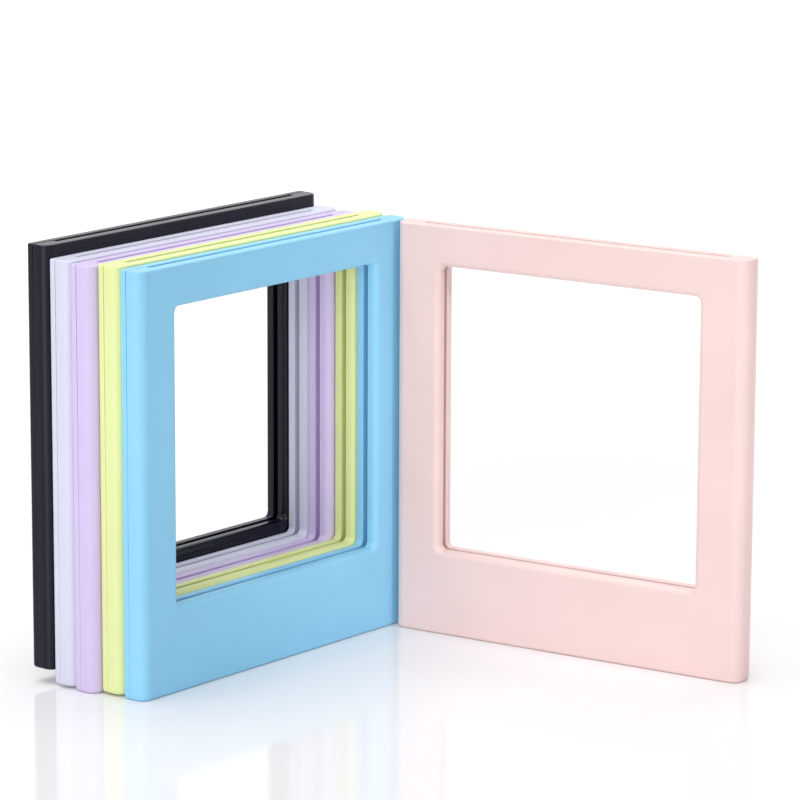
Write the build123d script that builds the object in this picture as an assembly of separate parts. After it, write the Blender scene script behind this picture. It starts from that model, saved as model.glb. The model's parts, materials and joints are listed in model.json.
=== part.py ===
"""Set of six magnetic frames for square instant film: five stacked face to face, one opened at the side.

Each frame is a front shell and a thin back cover, both with the same see-through window. The film slides in
from above, into the slot between them, and disc magnets sit in the two side rails beside the film.

Units are millimetres. A frame's own axes: X across, Z up from its bottom edge, its back face at Y = 0 and its
front face towards -Y. The set stands on Z = 0, centred on X = Y = 0.
"""

import os
from dataclasses import dataclass

from build123d import *

# Square instant film: its picture and the border round it
picture_width = 62.0
picture_height = 62.0
film_chin = 17.0
film_top_margin = 7.0
film_side_margin = 5.0

# Room round the film and its picture
film_side_clearance = 0.8
film_top_depth = 2.3
window_margin = 0.5

# Walls of one frame, across and upwards
rail_width = 5.7
floor_wall = 2.2

# Layers of one frame, from the front to the back
front_wall = 2.5
slot_gap = 1.2
cover_step = 0.25
cover_plate = 1.75

# Window corners, and rounded edges: the upright ones, the window's, and the rims at the top and bottom
window_corner_radius = 1.3
front_edge_round = 2.4
back_edge_round = 0.8
window_front_round = 1.3
window_back_round = 0.5
top_rim_round = 0.35
bottom_rim_round = 0.75

# Disc magnets in the rails
magnet_diameter = 4.0
magnet_thickness = 2.0
magnet_clearance = 0.1
magnet_end_distance = 12.0

# Pegs that hold the cover to the shell
peg_diameter = 2.0
peg_length = 2.4
peg_clearance = 0.1
peg_end_distance = 24.0

# Clearance of the cover's step in the film pocket
step_clearance = 0.15

# How the six frames stand together
stack_gap = 0.15
opening_angle = 98.2
hinge_inset = 0.8
hinge_gap = 0.3

# Sizes that follow from the ones above
film_width = picture_width + 2 * film_side_margin
film_height = film_chin + picture_height + film_top_margin
pocket_width = film_width + 2 * film_side_clearance
frame_width = pocket_width + 2 * rail_width
frame_height = floor_wall + film_height + film_top_depth
frame_thickness = front_wall + slot_gap + cover_step + cover_plate
window_width = picture_width + 2 * window_margin
window_height = picture_height + 2 * window_margin
window_bottom = floor_wall + film_chin - window_margin
rail_centre = (frame_width - rail_width) / 2
stack_pitch = frame_thickness + stack_gap


@dataclass(frozen=True)
class Stacked:
    """A frame of the stack: its colour, its lift off the floor and its shift to the left."""

    colour: str
    lift: float
    shift: float


# The stack from the front to the back
stack = [
    Stacked("blue", lift=0.0, shift=0.0),
    Stacked("yellow", lift=0.4, shift=0.4),
    Stacked("lilac", lift=0.0, shift=2.4),
    Stacked("lavender", lift=0.4, shift=2.5),
    Stacked("black", lift=3.0, shift=3.0),
]


def block(width, bottom, top, back, front):
    """A plain box, centred across, between two heights and two depths counted from the back face."""
    outline = Pos(0, (bottom + top) / 2) * Rectangle(width, top - bottom)
    return extrude(Plane.XZ.offset(back) * outline, amount=front - back)


def disc(across, height, diameter, back, front):
    """A disc with its axis along Y, between two depths."""
    outline = Pos(across, height) * Circle(diameter / 2)
    return extrude(Plane.XZ.offset(back) * outline, amount=front - back)


def window_cut():
    """The see-through window, through the whole frame, with rounded corners."""
    outline = Pos(0, window_bottom + window_height / 2) * RectangleRounded(
        window_width, window_height, window_corner_radius
    )
    return extrude(Plane.XZ * outline, amount=frame_thickness)


def front_face(solid):
    """The flat face that looks forwards."""
    return solid.faces().filter_by(Axis.Y).sort_by(Axis.Y)[0]


def back_face(solid):
    """The flat face that looks backwards."""
    return solid.faces().filter_by(Axis.Y).sort_by(Axis.Y)[-1]


def round_rims(solid, rows):
    """Rounds the edges round the flat bottom and top, in the given rows from the front to the back."""
    for level, radius in ((0, bottom_rim_round), (-1, top_rim_round)):
        flat = solid.faces().filter_by(Axis.Z).sort_by(Axis.Z)[level]
        edges = [edge for row in flat.edges().group_by(Axis.Y)[rows] for edge in row]
        solid = fillet(edges, radius)
    return solid


def rail_points(end_distance):
    """Two points on each rail's centre line, as far from its top as from its bottom."""
    heights = [end_distance, frame_height - end_distance]
    return [(side * rail_centre, height) for side in (-1, 1) for height in heights]


def make_front_shell():
    """Front wall, rails and floor, with the film pocket open at the top and the back."""
    shell = block(frame_width, 0, frame_height, cover_plate, frame_thickness)
    shell = fillet(front_face(shell).edges().filter_by(Axis.Z), front_edge_round)
    shell = round_rims(shell, slice(None, -1))
    shell -= window_cut()
    shell = fillet(front_face(shell).inner_wires()[0].edges(), window_front_round)
    shell -= block(pocket_width, floor_wall, frame_height, cover_plate, frame_thickness - front_wall)
    for across, height in rail_points(magnet_end_distance):
        hole = magnet_diameter + 2 * magnet_clearance
        end = cover_plate + magnet_thickness + 2 * magnet_clearance
        shell -= disc(across, height, hole, cover_plate, end)
    for across, height in rail_points(peg_end_distance):
        hole = peg_diameter + 2 * peg_clearance
        shell -= disc(across, height, hole, cover_plate, cover_plate + peg_length + peg_clearance)
    return shell


def make_back_cover():
    """Back plate, the step behind the film and the pegs, with the same window as the shell."""
    cover = block(frame_width, 0, frame_height, 0, cover_plate)
    cover = fillet(back_face(cover).edges().filter_by(Axis.Z), back_edge_round)
    cover = round_rims(cover, slice(1, None))
    step_width = pocket_width - 2 * step_clearance
    step_bottom = floor_wall + step_clearance
    cover += block(step_width, step_bottom, frame_height, cover_plate, cover_plate + cover_step)
    cover -= window_cut()
    cover = fillet(back_face(cover).inner_wires()[0].edges(), window_back_round)
    for across, height in rail_points(peg_end_distance):
        cover += disc(across, height, peg_diameter, cover_plate, cover_plate + peg_length)
    return cover


def make_magnets(side):
    """The two disc magnets in one rail of the shell; side is -1 for the left rail and 1 for the right."""
    points = [point for point in rail_points(magnet_end_distance) if point[0] * side > 0]
    back = cover_plate + magnet_clearance
    discs = [disc(*point, magnet_diameter, back, back + magnet_thickness) for point in points]
    return Compound(children=discs)


def stacked_place(index, frame):
    """Where a stacked frame stands, with the front face of the first one on Y = 0."""
    return Location((-frame.shift, frame_thickness + index * stack_pitch, frame.lift))


def hinge_point():
    """The vertical line that the opened frame swings about: the centre of its rounded back left edge."""
    return Vector(frame_width / 2 - hinge_inset, -hinge_gap - back_edge_round, 0)


def opened_place():
    """Where the opened frame stands, its back left edge against the face of the first stacked one."""
    turn = Location((0, 0, 0), (0, 0, opening_angle - 180))
    edge = Location((frame_width / 2 - back_edge_round, back_edge_round, 0))
    return Location(hinge_point()) * turn * edge


# One frame's pieces on its own axes
pieces = {
    "front_shell": make_front_shell(),
    "back_cover": make_back_cover(),
    "left_magnets": make_magnets(-1),
    "right_magnets": make_magnets(1),
}

# Every frame's place, then the whole set centred over the floor
places = {frame.colour: stacked_place(index, frame) for index, frame in enumerate(stack)}
places["pink"] = opened_place()
halves = [place * pieces[half] for place in places.values() for half in ("front_shell", "back_cover")]
middle = Compound(children=halves).bounding_box().center()
centring = Location((-middle.X, -middle.Y, 0))

os.makedirs("parts", exist_ok=True)
for colour, place in places.items():
    for name, piece in pieces.items():
        export_step(centring * place * piece, f"parts/{colour}_{name}.step")
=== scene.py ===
"""Six magnetic frames for square instant film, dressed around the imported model.

Five frames stand face to face as a stack and one stands opened at its side. Each frame is a moulded front
shell and a thin moulded back cover. Geometry Nodes draw each half up from its outline seen from above, cut
the window with its rolled edge and the film pocket, and mark the edges to be rounded. The hidden disc
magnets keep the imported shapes.

A frame's own axes, while it is built: X across, Y up from its bottom edge, Z from the back face to the front,
in millimetres. It is then stood up, put in its place and scaled to metres.
"""

import json
import logging
import math
from dataclasses import dataclass
from enum import Enum
from typing import Any

import bpy
from mathutils import Matrix, Vector

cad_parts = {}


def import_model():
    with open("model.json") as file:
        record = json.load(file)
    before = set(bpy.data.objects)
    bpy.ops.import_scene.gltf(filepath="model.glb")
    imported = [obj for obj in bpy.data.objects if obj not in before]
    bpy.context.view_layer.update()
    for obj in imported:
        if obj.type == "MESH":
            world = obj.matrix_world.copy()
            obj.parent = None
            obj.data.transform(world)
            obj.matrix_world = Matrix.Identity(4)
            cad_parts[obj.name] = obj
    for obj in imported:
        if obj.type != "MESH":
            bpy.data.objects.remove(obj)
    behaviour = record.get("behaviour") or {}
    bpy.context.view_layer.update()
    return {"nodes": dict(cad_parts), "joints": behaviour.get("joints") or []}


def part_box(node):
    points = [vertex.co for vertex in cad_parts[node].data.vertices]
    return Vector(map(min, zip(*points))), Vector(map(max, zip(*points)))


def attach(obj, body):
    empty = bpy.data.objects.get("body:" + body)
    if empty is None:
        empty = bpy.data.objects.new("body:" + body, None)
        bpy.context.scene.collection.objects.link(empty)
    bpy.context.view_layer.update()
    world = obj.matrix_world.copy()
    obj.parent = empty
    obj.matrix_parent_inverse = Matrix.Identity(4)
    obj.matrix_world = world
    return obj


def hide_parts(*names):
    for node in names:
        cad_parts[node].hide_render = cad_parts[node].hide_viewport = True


MM = 0.001
LOG = logging.getLogger("frames")
Point = tuple[float, float, float]

# Noise textures keep to about this part of the range from 0 to 1
NOISE_LOW = 0.3
NOISE_HIGH = 0.7


class Half(Enum):
    """The two moulded halves of a frame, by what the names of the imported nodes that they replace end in."""

    SHELL = "front_shell"
    COVER = "back_cover"


class Side(Enum):
    """The two rails of a frame, by the word for each in the names of their magnets."""

    LEFT = "left"
    RIGHT = "right"


def linear(hex_code: str) -> tuple[float, float, float, float]:
    """Turns an sRGB hex colour to linear.

    Args:
        hex_code: Six hex digits.

    Returns:
        Linear red, green, blue and an alpha of 1.
    """
    parts = [int(hex_code[i:i + 2], 16) / 255 for i in (0, 2, 4)]
    red, green, blue = [p / 12.92 if p <= 0.04045 else ((p + 0.055) / 1.055) ** 2.4 for p in parts]
    return red, green, blue, 1.0


WHITE = linear("ffffff")


def add(tree: bpy.types.NodeTree, kind: str, inputs: dict[Any, Any] | None = None,
        **settings: Any) -> bpy.types.Node:
    """Adds a node with its settings, values and links.

    Args:
        tree: The node tree.
        kind: The node's type name.
        inputs: For each input, by name or number, a value, a node or socket that feeds it, or a list.
        settings: The node's own properties.

    Returns:
        The new node.
    """
    node = tree.nodes.new(kind)
    for name, value in settings.items():
        setattr(node, name, value)
    for key, value in (inputs or {}).items():
        for source in value if isinstance(value, list) else [value]:
            if isinstance(source, bpy.types.Node):
                source = next(socket for socket in source.outputs if socket.enabled)
            if isinstance(source, bpy.types.NodeSocket):
                tree.links.new(source, node.inputs[key])
            else:
                node.inputs[key].default_value = source
    return node


def empty_tree(owner: bpy.types.Material | bpy.types.World) -> bpy.types.NodeTree:
    """Turns on a material's or a world's nodes and clears them.

    Args:
        owner: The new material or world.

    Returns:
        Its node tree, with nothing in it.
    """
    owner.use_nodes = True
    owner.node_tree.nodes.clear()
    return owner.node_tree


@dataclass(frozen=True)
class MouldedPlastic:
    """Injection-moulded ABS with a fine satin mould texture: an even colour, soft highlights on rolled edges.

    Attributes:
        name: The material's name.
        colour: sRGB hex of the plastic.
        roughness: Middle of the surface's roughness.
        shine: How strongly it mirrors, from 0 to 1.
        ior: Its index of refraction.
    """

    name: str
    colour: str
    roughness: float = 0.42
    shine: float = 0.5
    ior: float = 1.54

    # The mould texture is about 0.1 mm across: too fine to show, so it is drawn at 0.45 mm
    grain_mm: float = 0.45
    grain_depth_mm: float = 0.004
    grain_detail: float = 2.0
    # How far the texture moves the roughness, up and down
    grain_roughness: float = 0.05
    # Flow of the plastic in the mould: clouds of about 18 mm, a few parts in a hundred lighter or darker
    cloud_mm: float = 18.0
    cloud_detail: float = 3.0
    cloud_share: float = 0.025

    def material(self) -> bpy.types.Material:
        """Builds the procedural material on Object coordinates.

        Returns:
            The new material.
        """
        material = bpy.data.materials.new(self.name)
        tree = empty_tree(material)
        place = add(tree, "ShaderNodeTexCoord").outputs["Object"]
        cloud = add(tree, "ShaderNodeTexNoise", {
            "Vector": place, "Scale": 1 / (self.cloud_mm * MM), "Detail": self.cloud_detail,
        })
        grain = add(tree, "ShaderNodeTexNoise", {
            "Vector": place, "Scale": 1 / (self.grain_mm * MM), "Detail": self.grain_detail,
        })
        darker, lighter = (
            tuple(min(channel * share, 1.0) for channel in linear(self.colour)[:3])
            for share in (1 - self.cloud_share, 1 + self.cloud_share)
        )
        # Inputs 7 to 10 are the vector forms of From Min, From Max, To Min and To Max
        tint = add(tree, "ShaderNodeMapRange", {
            "Vector": cloud.outputs["Fac"], 7: (NOISE_LOW,) * 3, 8: (NOISE_HIGH,) * 3, 9: darker, 10: lighter,
        }, data_type="FLOAT_VECTOR")
        sheen = add(tree, "ShaderNodeMapRange", {
            "Value": grain.outputs["Fac"], "From Min": NOISE_LOW, "From Max": NOISE_HIGH,
            "To Min": self.roughness - self.grain_roughness, "To Max": self.roughness + self.grain_roughness,
        })
        bump = add(tree, "ShaderNodeBump", {
            "Height": grain.outputs["Fac"], "Distance": self.grain_depth_mm * MM, "Strength": 1.0,
        })
        shader = add(tree, "ShaderNodeBsdfPrincipled", {
            "Base Color": tint.outputs["Vector"], "Roughness": sheen.outputs["Result"], "Normal": bump,
            "IOR": self.ior, "Specular IOR Level": self.shine,
        })
        add(tree, "ShaderNodeOutputMaterial", {"Surface": shader})
        return material


@dataclass(frozen=True)
class NickelPlate:
    """Nickel-plated neodymium, barrel-plated: a bright warm grey metal with a faintly uneven shine.

    Attributes:
        name: The material's name.
        colour: sRGB hex of the metal's reflection.
    """

    name: str = "nickel_plated_magnet"
    colour: str = "c4beb4"

    # Scuffs from the plating barrel, and the roughness from the smoothest spots to the dullest
    scuff_mm: float = 0.6
    scuff_detail: float = 4.0
    smoothest: float = 0.16
    dullest: float = 0.34

    def material(self) -> bpy.types.Material:
        """Builds the procedural material on Object coordinates.

        Returns:
            The new material.
        """
        material = bpy.data.materials.new(self.name)
        tree = empty_tree(material)
        place = add(tree, "ShaderNodeTexCoord").outputs["Object"]
        scuff = add(tree, "ShaderNodeTexNoise", {
            "Vector": place, "Scale": 1 / (self.scuff_mm * MM), "Detail": self.scuff_detail,
        })
        sheen = add(tree, "ShaderNodeMapRange", {
            "Value": scuff.outputs["Fac"], "To Min": self.smoothest, "To Max": self.dullest,
        })
        shader = add(tree, "ShaderNodeBsdfPrincipled", {
            "Base Color": linear(self.colour), "Metallic": 1.0, "Roughness": sheen.outputs["Result"],
        })
        add(tree, "ShaderNodeOutputMaterial", {"Surface": shader})
        return material


@dataclass(frozen=True)
class AcrylicBoard:
    """Polished white acrylic for the floor: it takes the frames' shadow and mirrors them faintly.

    Attributes:
        name: The material's name.
        colour: sRGB hex of the board.
        roughness: Roughness of its polish.
        ior: Its index of refraction, which is set low to keep the reflections faint.
    """

    name: str = "white_acrylic_board"
    colour: str = "f4f3f5"
    roughness: float = 0.09
    ior: float = 1.35

    # For the camera alone it is lifted to white, by a level that grows between two distances, in metres
    lift_from: float = 0.12
    lift_to: float = 0.9
    near_lift: float = 0.045
    far_lift: float = 0.42

    def material(self) -> bpy.types.Material:
        """Builds the board and its lift to white.

        Returns:
            The new material.
        """
        material = bpy.data.materials.new(self.name)
        tree = empty_tree(material)
        board = add(tree, "ShaderNodeBsdfPrincipled", {
            "Base Color": linear(self.colour), "Roughness": self.roughness, "IOR": self.ior,
        })
        camera_ray = add(tree, "ShaderNodeLightPath").outputs["Is Camera Ray"]
        place = add(tree, "ShaderNodeTexCoord").outputs["Object"]
        away = add(tree, "ShaderNodeVectorMath", {0: place}, operation="LENGTH").outputs["Value"]
        level = add(tree, "ShaderNodeMapRange", {
            "Value": away, "From Min": self.lift_from, "From Max": self.lift_to,
            "To Min": self.near_lift, "To Max": self.far_lift,
        }, interpolation_type="SMOOTHSTEP").outputs["Result"]
        strength = add(tree, "ShaderNodeMath", {0: camera_ray, 1: level}, operation="MULTIPLY")
        lift = add(tree, "ShaderNodeEmission", {"Color": WHITE, "Strength": strength})
        both = add(tree, "ShaderNodeAddShader", {0: board, 1: lift})
        add(tree, "ShaderNodeOutputMaterial", {"Surface": both})
        return material


@dataclass(frozen=True)
class FrameSizes:
    """Sizes of one frame in millimetres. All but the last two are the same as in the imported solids."""

    # Square instant film, the room round it, and the window that shows its picture
    film_width: float = 72.0
    film_height: float = 86.0
    film_chin: float = 17.0
    film_side_clearance: float = 0.8
    film_top_depth: float = 2.3
    window_width: float = 63.0
    window_height: float = 63.0
    window_margin: float = 0.5
    window_radius: float = 1.3

    # Walls beside and below the film, and the layers from the front to the back
    rail_width: float = 5.7
    floor_wall: float = 2.2
    front_wall: float = 2.5
    slot_gap: float = 1.2
    cover_step: float = 0.25
    cover_plate: float = 1.75
    step_clearance: float = 0.15

    # Rounded edges: the upright ones, the window's, and the rims at the top and bottom
    front_round: float = 2.4
    back_round: float = 0.8
    window_front_round: float = 1.3
    window_back_round: float = 0.5
    top_rim_round: float = 0.35
    bottom_rim_round: float = 0.75

    # Disc magnets and pegs, which stand in the rails at a distance from their ends
    magnet_diameter: float = 4.0
    magnet_thickness: float = 2.0
    magnet_clearance: float = 0.1
    magnet_end: float = 12.0
    peg_diameter: float = 2.0
    peg_length: float = 2.4
    peg_clearance: float = 0.1
    peg_end: float = 24.0

    # A moulding tool's corners are never quite sharp: this softens the seam, the slot's mouth and the pegs
    edge_break: float = 0.25
    # Where the halves meet, their flat faces leave a hair's breadth that shows as a dark line
    seam_gap: float = 0.12

    @property
    def pocket_width(self) -> float:
        """Width of the film pocket."""
        return self.film_width + 2 * self.film_side_clearance

    @property
    def width(self) -> float:
        """Width of the frame, across the pocket and both rails."""
        return self.pocket_width + 2 * self.rail_width

    @property
    def height(self) -> float:
        """Height of the frame, from its bottom edge to the slot's mouth."""
        return self.floor_wall + self.film_height + self.film_top_depth

    @property
    def window_bottom(self) -> float:
        """Height of the window's lower edge."""
        return self.floor_wall + self.film_chin - self.window_margin

    @property
    def rail_centre(self) -> float:
        """Distance of each rail's centre line from the middle."""
        return (self.width - self.rail_width) / 2

    @property
    def shell_depth(self) -> float:
        """Depth of the front shell in front of the seam's gap."""
        return self.front_wall + self.slot_gap + self.cover_step - self.seam_gap


class MouldTrees:
    """The Geometry Nodes trees that mould the two halves, made once and used by every frame."""

    PLATE_INPUTS = (
        "Width", "Height", "Depth", "Edge Round",
        "Window Width", "Window Height", "Window Bottom", "Window Radius", "Window Round",
    )
    EDGE_INPUTS = ("Top Rim Round", "Bottom Rim Round", "Edge Break")
    SHELL_INPUTS = (
        "Pocket Width", "Pocket Floor", "Pocket Depth", "Rail Centre",
        "Magnet End", "Magnet Hole", "Magnet Hole Depth", "Peg End", "Peg Hole", "Peg Hole Depth",
    )
    COVER_INPUTS = (
        "Step Width", "Step Bottom", "Step Height", "Rail Centre", "Peg End", "Peg Diameter", "Peg Length",
    )

    # Steps of a rounded corner and of a rounded rim, and the sides of a post
    ROUND_STEPS = 8
    RIM_STEPS = 4
    POST_SIDES = 24
    # Edges that turn by more than this are rounded
    SHARP_ANGLE = math.radians(50)
    # Points closer than this are one, and an edge this near to a face lies on it
    MERGE_MM = 0.001
    NEAR_MM = 0.01
    # How far a cut reaches past what it cuts, and a window's flare past the face that it meets
    BEYOND_MM = 1.0
    HAIR_MM = 0.003
    # A plug's points past this share of a lid's height are the lid's rim
    LID_SHARE = 0.999
    # How deep the pegs are rooted in the plate
    PEG_ROOT_MM = 0.4

    def __init__(self) -> None:
        """Builds the shared plate and the two trees around it."""
        self.plate = self._plate_tree()
        self.trees = {Half.SHELL: self._shell_tree(), Half.COVER: self._cover_tree()}

    @staticmethod
    def _new_tree(name: str, sizes: tuple[str, ...], meshes: tuple[str, ...],
                  material: bool) -> tuple[bpy.types.NodeTree, bpy.types.Node]:
        """Starts a tree with named inputs and outputs.

        Args:
            name: The tree's name.
            sizes: Names of its size inputs.
            meshes: Names of its outputs.
            material: Whether it takes a material as well.

        Returns:
            The tree and its input node.
        """
        tree = bpy.data.node_groups.new(name, "GeometryNodeTree")
        for label in sizes:
            tree.interface.new_socket(label, in_out="INPUT", socket_type="NodeSocketFloat")
        if material:
            tree.interface.new_socket("Material", in_out="INPUT", socket_type="NodeSocketMaterial")
        for label in meshes:
            tree.interface.new_socket(label, in_out="OUTPUT", socket_type="NodeSocketGeometry")
        return tree, add(tree, "NodeGroupInput")

    def _plate_tree(self) -> bpy.types.NodeTree:
        """A bar with round upright edges at Z = Depth, and the plug that cuts its window with a rolled edge.

        Returns:
            The tree.
        """
        outputs = ("Body", "Window")
        tree, given = self._new_tree("round_edged_plate", self.PLATE_INPUTS, outputs, material=False)
        add(tree, "NodeGroupOutput", {
            "Body": self._body(tree, given.outputs), "Window": self._window_plug(tree, given.outputs),
        })
        return tree

    def _body(self, tree: bpy.types.NodeTree, sizes: Any) -> bpy.types.Node:
        """The plate without its window: its outline seen from above, drawn up to the frame's height.

        Args:
            tree: The node tree.
            sizes: The outputs of its input node.

        Returns:
            The node that gives the closed body.
        """
        middle = add(tree, "ShaderNodeMath", {0: sizes["Depth"], 1: -0.5}, operation="MULTIPLY")
        sharp = add(tree, "GeometryNodeTransform", {
            "Geometry": add(tree, "GeometryNodeCurvePrimitiveQuadrilateral", {
                "Width": sizes["Width"], "Height": sizes["Depth"],
            }),
            "Translation": add(tree, "ShaderNodeCombineXYZ", {"Y": middle}),
        })
        position = add(tree, "GeometryNodeInputPosition")
        along = add(tree, "ShaderNodeSeparateXYZ", {"Vector": position}).outputs["Y"]
        on_front = add(tree, "ShaderNodeMath", {0: along, 1: middle}, operation="LESS_THAN")
        radius = add(tree, "ShaderNodeMath", {0: on_front, 1: sizes["Edge Round"]}, operation="MULTIPLY")
        outline = add(tree, "GeometryNodeFilletCurve", {
            "Curve": sharp, "Count": self.ROUND_STEPS, "Radius": radius,
        }, mode="POLY")
        base = add(tree, "GeometryNodeMergeByDistance", {
            "Geometry": add(tree, "GeometryNodeFillCurve", {"Curve": outline}, mode="NGONS"),
            "Distance": self.MERGE_MM,
        })
        drawn = add(tree, "GeometryNodeExtrudeMesh", {
            "Mesh": base, "Offset": (0.0, 0.0, 1.0), "Offset Scale": sizes["Height"], "Individual": False,
        }, mode="FACES")
        parts = add(tree, "GeometryNodeJoinGeometry", {
            "Geometry": [drawn, add(tree, "GeometryNodeFlipFaces", {"Mesh": base})],
        })
        closed = add(tree, "GeometryNodeMergeByDistance", {"Geometry": parts, "Distance": self.MERGE_MM})
        return add(tree, "GeometryNodeTransform", {"Geometry": closed, "Rotation": (-math.pi / 2, 0.0, 0.0)})

    def _window_plug(self, tree: bpy.types.NodeTree, sizes: Any) -> bpy.types.Node:
        """What the window takes away: a rounded rectangle, flared at Z = Depth so that the edge is rolled.

        Args:
            tree: The node tree.
            sizes: The outputs of its input node.

        Returns:
            The node that gives the closed plug.
        """
        roll = sizes["Window Round"]
        half = add(tree, "ShaderNodeMath", {0: sizes["Window Height"], 1: 0.5}, operation="MULTIPLY")
        centre = add(tree, "ShaderNodeMath", {0: half, 1: sizes["Window Bottom"]}, operation="ADD")
        sharp = add(tree, "GeometryNodeTransform", {
            "Geometry": add(tree, "GeometryNodeCurvePrimitiveQuadrilateral", {
                "Width": sizes["Window Width"], "Height": sizes["Window Height"],
            }),
            "Translation": add(tree, "ShaderNodeCombineXYZ", {"Y": centre}),
        })
        path = add(tree, "GeometryNodeFilletCurve", {
            "Curve": sharp, "Count": self.ROUND_STEPS, "Radius": sizes["Window Radius"],
        }, mode="POLY")
        # On a profile X points out of the path and Y points down; the flare ends a hair above the cut face
        flare_top = add(tree, "ShaderNodeMath", {0: sizes["Depth"], 1: self.HAIR_MM}, operation="ADD")
        face = add(tree, "ShaderNodeMath", {0: flare_top, 1: -1.0}, operation="MULTIPLY")
        above = add(tree, "ShaderNodeMath", {0: face, 1: self.BEYOND_MM}, operation="SUBTRACT")
        shoulder = add(tree, "ShaderNodeMath", {0: face, 1: roll}, operation="ADD")
        arc = add(tree, "GeometryNodeTransform", {
            "Geometry": add(tree, "GeometryNodeCurveArc", {
                "Resolution": self.ROUND_STEPS + 1, "Radius": roll,
                "Start Angle": 1.5 * math.pi, "Sweep Angle": -math.pi / 2,
            }),
            "Translation": add(tree, "ShaderNodeCombineXYZ", {"X": roll, "Y": shoulder}),
        })
        upper = add(tree, "GeometryNodeCurvePrimitiveLine", {
            "Start": add(tree, "ShaderNodeCombineXYZ", {"X": roll, "Y": above}),
            "End": add(tree, "ShaderNodeCombineXYZ", {"X": roll, "Y": face}),
        })
        lower = add(tree, "GeometryNodeCurvePrimitiveLine", {
            "Start": add(tree, "ShaderNodeCombineXYZ", {"Y": shoulder}), "End": (0.0, self.BEYOND_MM, 0.0),
        })
        profile = add(tree, "GeometryNodeJoinGeometry", {"Geometry": [upper, arc, lower]})
        wall = add(tree, "GeometryNodeCurveToMesh", {"Curve": path, "Profile Curve": profile})
        position = add(tree, "GeometryNodeInputPosition")
        height = add(tree, "ShaderNodeSeparateXYZ", {"Vector": position}).outputs["Z"]
        top = add(tree, "ShaderNodeMath", {0: above, 1: -1.0}, operation="MULTIPLY")
        lids = []
        for level, test in ((top, "GREATER_THAN"), (-self.BEYOND_MM, "LESS_THAN")):
            nearer = add(tree, "ShaderNodeMath", {0: level, 1: self.LID_SHARE}, operation="MULTIPLY")
            rim = add(tree, "FunctionNodeCompare", {0: height, 1: nearer}, data_type="FLOAT", operation=test)
            loop = add(tree, "GeometryNodeMeshToCurve", {"Mesh": wall, "Selection": rim})
            lids.append(add(tree, "GeometryNodeTransform", {
                "Geometry": add(tree, "GeometryNodeFillCurve", {"Curve": loop}, mode="NGONS"),
                "Translation": add(tree, "ShaderNodeCombineXYZ", {"Z": level}),
            }))
        upper_lid, lower_lid = lids
        turned_lid = add(tree, "GeometryNodeFlipFaces", {"Mesh": lower_lid})
        parts = add(tree, "GeometryNodeJoinGeometry", {"Geometry": [wall, upper_lid, turned_lid]})
        return add(tree, "GeometryNodeMergeByDistance", {"Geometry": parts, "Distance": self.MERGE_MM})

    @staticmethod
    def _box(tree: bpy.types.NodeTree, low: tuple[Any, Any, Any],
             high: tuple[Any, Any, Any]) -> bpy.types.Node:
        """A box between two corners, whose coordinates are values or sockets.

        Args:
            tree: The node tree.
            low: The lowest corner.
            high: The highest corner.

        Returns:
            The node that gives the box.
        """
        size, middle = {}, {}
        for axis, (start, end) in enumerate(zip(low, high)):
            total = add(tree, "ShaderNodeMath", {0: end, 1: start}, operation="ADD")
            size[axis] = add(tree, "ShaderNodeMath", {0: end, 1: start}, operation="SUBTRACT")
            middle[axis] = add(tree, "ShaderNodeMath", {0: total, 1: 0.5}, operation="MULTIPLY")
        cube = add(tree, "GeometryNodeMeshCube", {"Size": add(tree, "ShaderNodeCombineXYZ", size)})
        return add(tree, "GeometryNodeTransform", {
            "Geometry": cube, "Translation": add(tree, "ShaderNodeCombineXYZ", middle),
        })

    def _posts(self, tree: bpy.types.NodeTree, sizes: Any, end: str, diameter: Any, low: Any,
               high: Any) -> bpy.types.Node:
        """Four upright cylinders, two on each rail, for the magnets' holes, the pegs and the pegs' holes.

        Args:
            tree: The node tree.
            sizes: The outputs of its input node.
            end: Name of the size that says how far the posts stand from the rails' ends.
            diameter: Their diameter.
            low: Where they start along Z.
            high: Where they end along Z.

        Returns:
            The node that gives the posts as plain meshes.
        """
        across = add(tree, "ShaderNodeMath", {0: sizes["Rail Centre"], 1: 2.0}, operation="MULTIPLY")
        both_ends = add(tree, "ShaderNodeMath", {0: sizes[end], 1: 2.0}, operation="MULTIPLY")
        up = add(tree, "ShaderNodeMath", {0: sizes["Height"], 1: both_ends}, operation="SUBTRACT")
        grid = add(tree, "GeometryNodeMeshGrid", {
            "Size X": across, "Size Y": up, "Vertices X": 2, "Vertices Y": 2,
        })
        levels = add(tree, "ShaderNodeMath", {0: low, 1: high}, operation="ADD")
        middle = add(tree, "ShaderNodeCombineXYZ", {
            "Y": add(tree, "ShaderNodeMath", {0: sizes["Height"], 1: 0.5}, operation="MULTIPLY"),
            "Z": add(tree, "ShaderNodeMath", {0: levels, 1: 0.5}, operation="MULTIPLY"),
        })
        spots = add(tree, "GeometryNodeTransform", {"Geometry": grid, "Translation": middle})
        post = add(tree, "GeometryNodeMeshCylinder", {
            "Vertices": self.POST_SIDES,
            "Radius": add(tree, "ShaderNodeMath", {0: diameter, 1: 0.5}, operation="MULTIPLY"),
            "Depth": add(tree, "ShaderNodeMath", {0: high, 1: low}, operation="SUBTRACT"),
        }, fill_type="NGON")
        copies = add(tree, "GeometryNodeInstanceOnPoints", {"Points": spots, "Instance": post})
        return add(tree, "GeometryNodeRealizeInstances", {"Geometry": copies})

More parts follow.
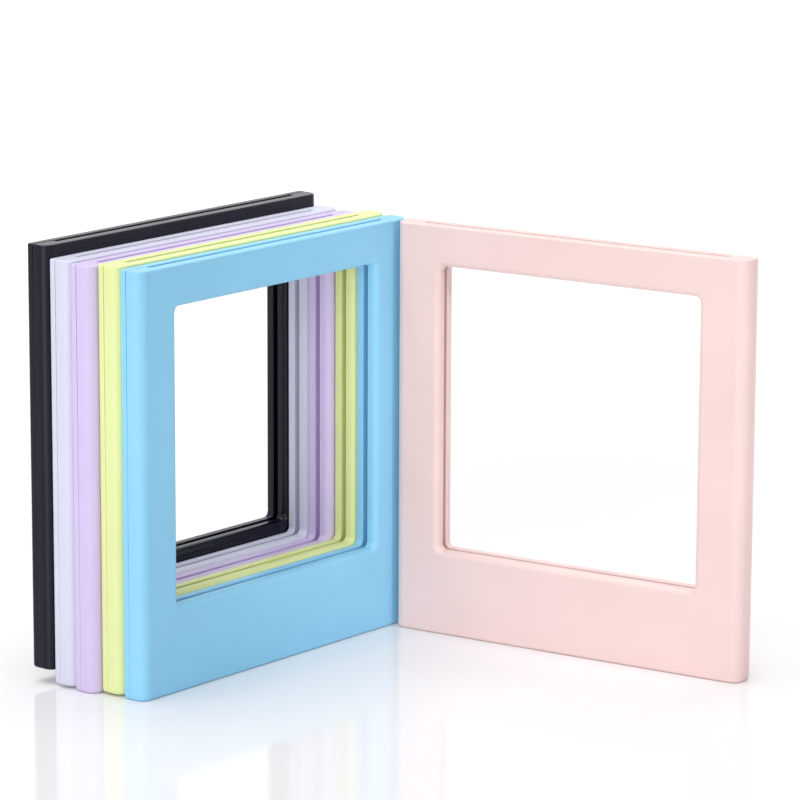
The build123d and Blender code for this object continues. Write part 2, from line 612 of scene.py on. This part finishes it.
    def _weigh_edges(self, tree: bpy.types.NodeTree, sizes: Any, mesh: bpy.types.Node) -> bpy.types.Node:
        """Marks how far each edge is rounded: the bottom's rims most, the top's less, other sharp ones least.

        Args:
            tree: The node tree.
            sizes: The outputs of its input node.
            mesh: The moulded half.

        Returns:
            The node that gives the half with its edges marked.
        """
        position = add(tree, "GeometryNodeInputPosition")
        place = add(tree, "ShaderNodeSeparateXYZ", {"Vector": position}).outputs
        half_height = add(tree, "ShaderNodeMath", {0: sizes["Height"], 1: 0.5}, operation="MULTIPLY")
        half_width = add(tree, "ShaderNodeMath", {0: sizes["Width"], 1: 0.5}, operation="MULTIPLY")

        # A rim is an edge of the flat top or bottom that is also at a side or along the outer face
        rise = add(tree, "ShaderNodeMath", {0: place["Y"], 1: half_height}, operation="SUBTRACT")
        from_middle = add(tree, "ShaderNodeMath", {0: rise}, operation="ABSOLUTE")
        off_cap = add(tree, "ShaderNodeMath", {0: half_height, 1: from_middle}, operation="SUBTRACT")
        on_cap = add(tree, "ShaderNodeMath", {0: off_cap, 1: self.NEAR_MM}, operation="LESS_THAN")
        across = add(tree, "ShaderNodeMath", {0: place["X"]}, operation="ABSOLUTE")
        flat_half = add(tree, "ShaderNodeMath", {0: half_width, 1: sizes["Edge Round"]}, operation="SUBTRACT")
        from_round = add(tree, "ShaderNodeMath", {0: across, 1: flat_half}, operation="SUBTRACT")
        at_side = add(tree, "ShaderNodeMath", {0: from_round, 1: -self.NEAR_MM}, operation="GREATER_THAN")
        from_face = add(tree, "ShaderNodeMath", {0: sizes["Depth"], 1: place["Z"]}, operation="SUBTRACT")
        at_face = add(tree, "ShaderNodeMath", {0: from_face, 1: self.NEAR_MM}, operation="LESS_THAN")
        outer = add(tree, "ShaderNodeMath", {0: at_side, 1: at_face}, operation="MAXIMUM")
        rim = add(tree, "ShaderNodeMath", {0: on_cap, 1: outer}, operation="MULTIPLY")

        # The weight is the radius as a share of the largest one
        is_top = add(tree, "ShaderNodeMath", {0: place["Y"], 1: half_height}, operation="GREATER_THAN")
        rim_round = add(tree, "ShaderNodeMix", {
            "Factor": is_top, "A": sizes["Bottom Rim Round"], "B": sizes["Top Rim Round"],
        })
        on_rim = add(tree, "ShaderNodeMath", {0: rim, 1: rim_round}, operation="MULTIPLY")
        radius = add(tree, "ShaderNodeMath", {0: on_rim, 1: sizes["Edge Break"]}, operation="MAXIMUM")
        share = add(tree, "ShaderNodeMath", {0: radius, 1: sizes["Bottom Rim Round"]}, operation="DIVIDE")
        angle = add(tree, "GeometryNodeInputMeshEdgeAngle").outputs["Unsigned Angle"]
        sharp = add(tree, "ShaderNodeMath", {0: angle, 1: self.SHARP_ANGLE}, operation="GREATER_THAN")
        weight = add(tree, "ShaderNodeMath", {0: sharp, 1: share}, operation="MULTIPLY")
        return add(tree, "GeometryNodeStoreNamedAttribute", {
            "Geometry": mesh, "Name": "bevel_weight_edge", "Value": weight,
        }, data_type="FLOAT", domain="EDGE")

    def _finish(self, tree: bpy.types.NodeTree, sizes: Any, mesh: bpy.types.Node) -> None:
        """Ends a tree: plain mesh, marked edges, smooth faces and the material that it was given.

        Args:
            tree: The node tree.
            sizes: The outputs of its input node.
            mesh: The moulded half.
        """
        plain = add(tree, "GeometryNodeRealizeInstances", {"Geometry": mesh})
        weighed = self._weigh_edges(tree, sizes, plain)
        smooth = add(tree, "GeometryNodeSetShadeSmooth", {"Geometry": weighed})
        dressed = add(tree, "GeometryNodeSetMaterial", {"Geometry": smooth, "Material": sizes["Material"]})
        add(tree, "NodeGroupOutput", {"Mesh": dressed})

    def _shell_tree(self) -> bpy.types.NodeTree:
        """The front shell: the plate, less its window, the film pocket and the magnets' and the pegs' holes.

        Returns:
            The tree.
        """
        inputs = self.PLATE_INPUTS + self.EDGE_INPUTS + self.SHELL_INPUTS
        tree, given = self._new_tree("front_shell", inputs, ("Mesh",), material=True)
        sizes = given.outputs
        start = -self.BEYOND_MM
        plate = add(tree, "GeometryNodeGroup", {
            label: sizes[label] for label in self.PLATE_INPUTS
        }, node_tree=self.plate)
        side = add(tree, "ShaderNodeMath", {0: sizes["Pocket Width"], 1: 0.5}, operation="MULTIPLY")
        left = add(tree, "ShaderNodeMath", {0: side, 1: -1.0}, operation="MULTIPLY")
        past_top = add(tree, "ShaderNodeMath", {0: sizes["Height"], 1: self.BEYOND_MM}, operation="ADD")
        pocket = self._box(
            tree, (left, sizes["Pocket Floor"], start), (side, past_top, sizes["Pocket Depth"])
        )
        magnet_holes = self._posts(
            tree, sizes, "Magnet End", sizes["Magnet Hole"], start, sizes["Magnet Hole Depth"]
        )
        peg_holes = self._posts(tree, sizes, "Peg End", sizes["Peg Hole"], start, sizes["Peg Hole Depth"])
        cut = add(tree, "GeometryNodeMeshBoolean", {
            "Mesh 1": plate.outputs["Body"],
            "Mesh 2": [plate.outputs["Window"], pocket, magnet_holes, peg_holes],
        }, operation="DIFFERENCE", solver="EXACT")
        self._finish(tree, sizes, cut)
        return tree

    def _cover_tree(self) -> bpy.types.NodeTree:
        """The back cover, face down: the plate, less its window and the rim round its step, and the pegs.

        Returns:
            The tree.
        """
        inputs = self.PLATE_INPUTS + self.EDGE_INPUTS + self.COVER_INPUTS
        tree, given = self._new_tree("back_cover", inputs, ("Mesh",), material=True)
        sizes = given.outputs
        start = -self.BEYOND_MM
        plate = add(tree, "GeometryNodeGroup", {
            label: sizes[label] for label in self.PLATE_INPUTS
        }, node_tree=self.plate)
        side = add(tree, "ShaderNodeMath", {0: sizes["Step Width"], 1: 0.5}, operation="MULTIPLY")
        left = add(tree, "ShaderNodeMath", {0: side, 1: -1.0}, operation="MULTIPLY")
        far = add(tree, "ShaderNodeMath", {0: sizes["Width"], 1: self.BEYOND_MM}, operation="ADD")
        far_left = add(tree, "ShaderNodeMath", {0: far, 1: -1.0}, operation="MULTIPLY")
        past_top = add(tree, "ShaderNodeMath", {0: sizes["Height"], 1: self.BEYOND_MM}, operation="ADD")
        step = sizes["Step Height"]
        rims = [
            self._box(tree, (far_left, start, start), (left, past_top, step)),
            self._box(tree, (side, start, start), (far, past_top, step)),
            self._box(tree, (far_left, start, start), (far, sizes["Step Bottom"], step)),
        ]
        cut = add(tree, "GeometryNodeMeshBoolean", {
            "Mesh 1": plate.outputs["Body"], "Mesh 2": [plate.outputs["Window"], *rims],
        }, operation="DIFFERENCE", solver="EXACT")
        peg_tip = add(tree, "ShaderNodeMath", {0: step, 1: sizes["Peg Length"]}, operation="SUBTRACT")
        peg_root = add(tree, "ShaderNodeMath", {0: step, 1: self.PEG_ROOT_MM}, operation="ADD")
        pegs = self._posts(tree, sizes, "Peg End", sizes["Peg Diameter"], peg_tip, peg_root)
        joined = add(tree, "GeometryNodeMeshBoolean", {
            "Mesh 2": [cut, pegs],
        }, operation="UNION", solver="EXACT")
        self._finish(tree, sizes, joined)
        return tree


@dataclass
class FilmFrame:
    """One frame of the set: its two moulded halves and its magnets, riding on its own body.

    Attributes:
        colour: The colour's name, which its body, nodes and moulded pieces start with.
        plastic: Its finish.
        place: From the frame's own axes, stood up and in metres, to the set.
        sizes: Its sizes in millimetres.
    """

    colour: str
    plastic: MouldedPlastic
    place: Matrix
    sizes: FrameSizes

    def inputs(self, half: Half) -> dict[str, float]:
        """The sizes that a half's tree takes, by the names of its inputs.

        Args:
            half: Which half.

        Returns:
            Input names and values.
        """
        s = self.sizes
        shared = {
            "Width": s.width, "Height": s.height, "Rail Centre": s.rail_centre, "Peg End": s.peg_end,
            "Window Width": s.window_width, "Window Height": s.window_height,
            "Window Bottom": s.window_bottom, "Window Radius": s.window_radius,
            "Top Rim Round": s.top_rim_round, "Bottom Rim Round": s.bottom_rim_round,
            "Edge Break": s.edge_break,
        }
        if half is Half.SHELL:
            return shared | {
                "Depth": s.shell_depth, "Edge Round": s.front_round, "Window Round": s.window_front_round,
                "Pocket Width": s.pocket_width, "Pocket Floor": s.floor_wall,
                "Pocket Depth": s.shell_depth - s.front_wall,
                "Magnet End": s.magnet_end, "Magnet Hole": s.magnet_diameter + 2 * s.magnet_clearance,
                "Magnet Hole Depth": s.magnet_thickness + 2 * s.magnet_clearance - s.seam_gap,
                "Peg Hole": s.peg_diameter + 2 * s.peg_clearance,
                "Peg Hole Depth": s.peg_length + s.peg_clearance - s.seam_gap,
            }
        return shared | {
            "Depth": s.cover_plate + s.cover_step, "Edge Round": s.back_round,
            "Window Round": s.window_back_round, "Step Width": s.pocket_width - 2 * s.step_clearance,
            "Step Bottom": s.floor_wall + s.step_clearance, "Step Height": s.cover_step,
            "Peg Diameter": s.peg_diameter, "Peg Length": s.peg_length,
        }

    def own_axes(self, half: Half) -> Matrix:
        """From the axes that a half is moulded on to the frame's own, stood up and in metres.

        Args:
            half: Which half.

        Returns:
            The matrix.
        """
        s = self.sizes
        stand = Matrix.Scale(MM, 4) @ Matrix.Rotation(math.pi / 2, 4, "X")
        if half is Half.SHELL:
            return stand @ Matrix.Translation((0, 0, s.cover_plate + s.seam_gap))
        face_up = Matrix.Rotation(math.pi, 4, "Y")
        return stand @ Matrix.Translation((0, 0, s.cover_plate + s.cover_step)) @ face_up

    def mould(self, half: Half, trees: MouldTrees, material: bpy.types.Material) -> bpy.types.Object:
        """Moulds one half and puts it in place.

        Args:
            half: Which half.
            trees: The shared trees.
            material: The frame's plastic.

        Returns:
            The finished piece.
        """
        tree = trees.trees[half]
        name = f"{self.colour}_{half.value}_moulded"
        blank = bpy.data.objects.new(name + "_blank", bpy.data.meshes.new(name + "_blank"))
        bpy.context.scene.collection.objects.link(blank)
        modifier = blank.modifiers.new("mould", "NODES")
        modifier.node_group = tree
        values: dict[str, Any] = self.inputs(half) | {"Material": material}
        for item in tree.interface.items_tree:
            if item.in_out == "INPUT":
                modifier[item.identifier] = values[item.name]
        soften = blank.modifiers.new("rounded_edges", "BEVEL")
        soften.width = self.sizes.bottom_rim_round
        soften.segments = trees.RIM_STEPS
        soften.limit_method = "WEIGHT"
        soften.use_clamp_overlap = False
        blank.modifiers.new("flat_faces", "WEIGHTED_NORMAL")
        bpy.context.view_layer.update()
        evaluated = blank.evaluated_get(bpy.context.evaluated_depsgraph_get())
        mesh = bpy.data.meshes.new_from_object(evaluated)
        bpy.data.objects.remove(blank)
        mesh.name = name
        mesh.transform(self.place @ self.own_axes(half))
        piece = bpy.data.objects.new(name, mesh)
        bpy.context.scene.collection.objects.link(piece)
        return piece

    def build(self, trees: MouldTrees, nodes: dict[str, bpy.types.Object],
              nickel: bpy.types.Material) -> None:
        """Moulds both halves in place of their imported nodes, and dresses the magnets.

        Args:
            trees: The shared trees.
            nodes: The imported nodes.
            nickel: The magnets' material.
        """
        material = self.plastic.material()
        for half in Half:
            piece = self.mould(half, trees, material)
            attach(piece, f"{self.colour}_frame")
            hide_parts(f"{self.colour}_{half.value}")
            LOG.info("%s: %d faces", piece.name, len(piece.data.polygons))
        for side in Side:
            magnets = nodes[f"{self.colour}_{side.value}_magnets"]
            magnets.data.materials.clear()
            magnets.data.materials.append(nickel)
            LOG.info("%s: packed shape, nickel-plated", magnets.name)


@dataclass(frozen=True)
class Lamp:
    """A lamp of the studio.

    Attributes:
        name: The lamp's name.
        place: Where it hangs, in metres.
        aim: The point that it lights, in metres.
        power: Its power in watts.
    """

    name: str
    place: Point
    aim: Point
    power: float

    def hang(self, data: bpy.types.Light) -> None:
        """Hangs the lamp in its place, turned to the point that it lights.

        Args:
            data: The lamp's own settings.
        """
        data.energy = self.power
        lamp = bpy.data.objects.new(self.name, data)
        turn = (Vector(self.aim) - Vector(self.place)).to_track_quat("-Z", "Y")
        lamp.matrix_world = Matrix.Translation(self.place) @ turn.to_matrix().to_4x4()
        bpy.context.scene.collection.objects.link(lamp)


@dataclass(frozen=True)
class Softbox(Lamp):
    """A square softbox.

    Attributes:
        side: Its side in metres.
    """

    side: float

    def build(self) -> None:
        """Adds the softbox to the scene."""
        data = bpy.data.lights.new(self.name, "AREA")
        data.shape = "SQUARE"
        data.size = self.side
        self.hang(data)


@dataclass(frozen=True)
class Spot(Lamp):
    """A narrow spot whose beam fades from its middle to its rim.

    Attributes:
        cone: The angle of its beam in degrees.
        bulb: The radius of its bulb in metres.
    """

    cone: float
    bulb: float

    def build(self) -> None:
        """Adds the spot to the scene."""
        data = bpy.data.lights.new(self.name, "SPOT")
        data.spot_size = math.radians(self.cone)
        data.spot_blend = 1.0
        data.shadow_soft_size = self.bulb
        self.hang(data)


# The middle of the set, and the corner between the stack's face and the opened frame, in metres
SET_MIDDLE = (0.0, 0.0, 0.05)
CORNER = (0.058, -0.01, 0.047)
LAMPS = (
    Softbox("top_softbox", (-0.1, 0.2, 1.3), SET_MIDDLE, power=11.0, side=1.0),
    Softbox("left_softbox", (-1.28, -0.38, 0.38), SET_MIDDLE, power=7.4, side=0.8),
    Softbox("right_softbox", (1.5, 0.15, 0.5), SET_MIDDLE, power=5.0, side=1.0),
    Spot("front_fill", (0.05, -1.35, 0.42), CORNER, power=21.0, cone=7.0, bulb=0.05),
)


@dataclass
class Studio:
    """Pale floor, soft light and the camera."""

    # Viewing direction in degrees: from the left of the stack's front, a little above
    azimuth: float = 50.05
    elevation: float = 12.56
    roll: float = -0.241
    # The camera's distance from the point in the middle of its view, and its lens
    distance_mm: float = 896.7
    target_mm: Point = (2.248, 0.278, 59.98)
    lens_mm: float = 194.03
    sensor_mm: float = 36.0
    # Nearest and farthest distances that the camera sees, and the floor's side, in metres
    clip_start: float = 0.05
    clip_end: float = 50.0
    floor_size: float = 6.0
    # The world's level as light: the camera and reflections see it white
    world_level: float = 0.41

    def camera(self) -> None:
        """Adds the camera at the photograph's viewing angle."""
        az, el, roll = (math.radians(angle) for angle in (self.azimuth, self.elevation, self.roll))
        forward = Vector((math.sin(az) * math.cos(el), math.cos(az) * math.cos(el), -math.sin(el)))
        level_right = forward.cross(Vector((0, 0, 1))).normalized()
        level_down = forward.cross(level_right)
        right = level_right * math.cos(roll) + level_down * math.sin(roll)
        down = level_down * math.cos(roll) - level_right * math.sin(roll)
        place = Vector(self.target_mm) * MM - forward * self.distance_mm * MM
        data = bpy.data.cameras.new("camera")
        data.lens = self.lens_mm
        data.sensor_width = self.sensor_mm
        data.clip_start = self.clip_start
        data.clip_end = self.clip_end
        camera = bpy.data.objects.new("camera", data)
        turn = Matrix((right, -down, -forward)).transposed().to_4x4()
        camera.matrix_world = Matrix.Translation(place) @ turn
        bpy.context.scene.collection.objects.link(camera)
        bpy.context.scene.camera = camera

    def world(self) -> None:
        """White for the camera, reflections and what shows through, and a softer level as light."""
        world = bpy.data.worlds.new("studio")
        bpy.context.scene.world = world
        tree = empty_tree(world)
        path = add(tree, "ShaderNodeLightPath").outputs
        seen = add(tree, "ShaderNodeMath", {
            0: path["Is Camera Ray"], 1: path["Is Glossy Ray"],
        }, operation="MAXIMUM")
        shown = add(tree, "ShaderNodeMath", {0: seen, 1: path["Is Transmission Ray"]}, operation="MAXIMUM")
        level = add(tree, "ShaderNodeMapRange", {"Value": shown, "To Min": self.world_level, "To Max": 1.0})
        light = add(tree, "ShaderNodeBackground", {"Color": WHITE, "Strength": level.outputs["Result"]})
        add(tree, "ShaderNodeOutputWorld", {"Surface": light})

    def floor(self) -> None:
        """A glossy white board, with the frames' shadow and reflection on it."""
        half = self.floor_size / 2
        corners = [(-half, -half, 0), (half, -half, 0), (half, half, 0), (-half, half, 0)]
        mesh = bpy.data.meshes.new("floor")
        mesh.from_pydata(corners, [], [(0, 1, 2, 3)])
        mesh.materials.append(AcrylicBoard().material())
        floor = bpy.data.objects.new("floor", mesh)
        bpy.context.scene.collection.objects.link(floor)

    def build(self) -> None:
        """Adds everything, and the plain view transform."""
        bpy.context.scene.view_settings.view_transform = "Standard"
        self.world()
        self.floor()
        for lamp in LAMPS:
            lamp.build()
        self.camera()


# The black plastic is smoother than the pale ones and mirrors less
PLASTICS = {
    "black": MouldedPlastic("moulded_abs_black", "0a0c1e", roughness=0.22, shine=0.24),
    "lavender": MouldedPlastic("moulded_abs_lavender", "dcddf0"),
    "lilac": MouldedPlastic("moulded_abs_lilac", "dac9f2"),
    "yellow": MouldedPlastic("moulded_abs_yellow", "eaf3aa"),
    "blue": MouldedPlastic("moulded_abs_blue", "93d8fb"),
    "pink": MouldedPlastic("moulded_abs_pink", "f3d6d2"),
}
OPENED = "pink"


def place_of(colour: str, sizes: FrameSizes, joints: list[dict[str, Any]]) -> Matrix:
    """Where a frame stands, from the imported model.

    Args:
        colour: The frame's colour.
        sizes: Its sizes.
        joints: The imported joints, of which the hinge swings the opened frame.

    Returns:
        From the frame's own axes in metres, with its back face on Y = 0, to the set.
    """
    if colour == OPENED:
        swing = next(joint for joint in joints if joint["type"] == "hinge")
        hinge = Vector((swing["pos_m"][0], swing["pos_m"][1], 0))
        turn = Matrix.Rotation(-math.radians(swing["range_deg"][1]), 4, "Z")
        edge = Vector((sizes.width / 2 - sizes.back_round, sizes.back_round, 0)) * MM
        return Matrix.Translation(hinge) @ turn @ Matrix.Translation(edge)
    low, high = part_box(f"{colour}_{Half.COVER.value}")
    return Matrix.Translation(((low.x + high.x) / 2, high.y, low.z))


def main() -> None:
    """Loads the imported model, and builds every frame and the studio."""
    logging.basicConfig(level=logging.INFO, format="%(name)s %(message)s")
    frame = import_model()
    trees = MouldTrees()
    nickel = NickelPlate().material()
    sizes = FrameSizes()
    for colour, plastic in PLASTICS.items():
        place = place_of(colour, sizes, frame["joints"])
        FilmFrame(colour, plastic, place, sizes).build(trees, frame["nodes"], nickel)
    Studio().build()


if __name__ == "__main__":
    main()
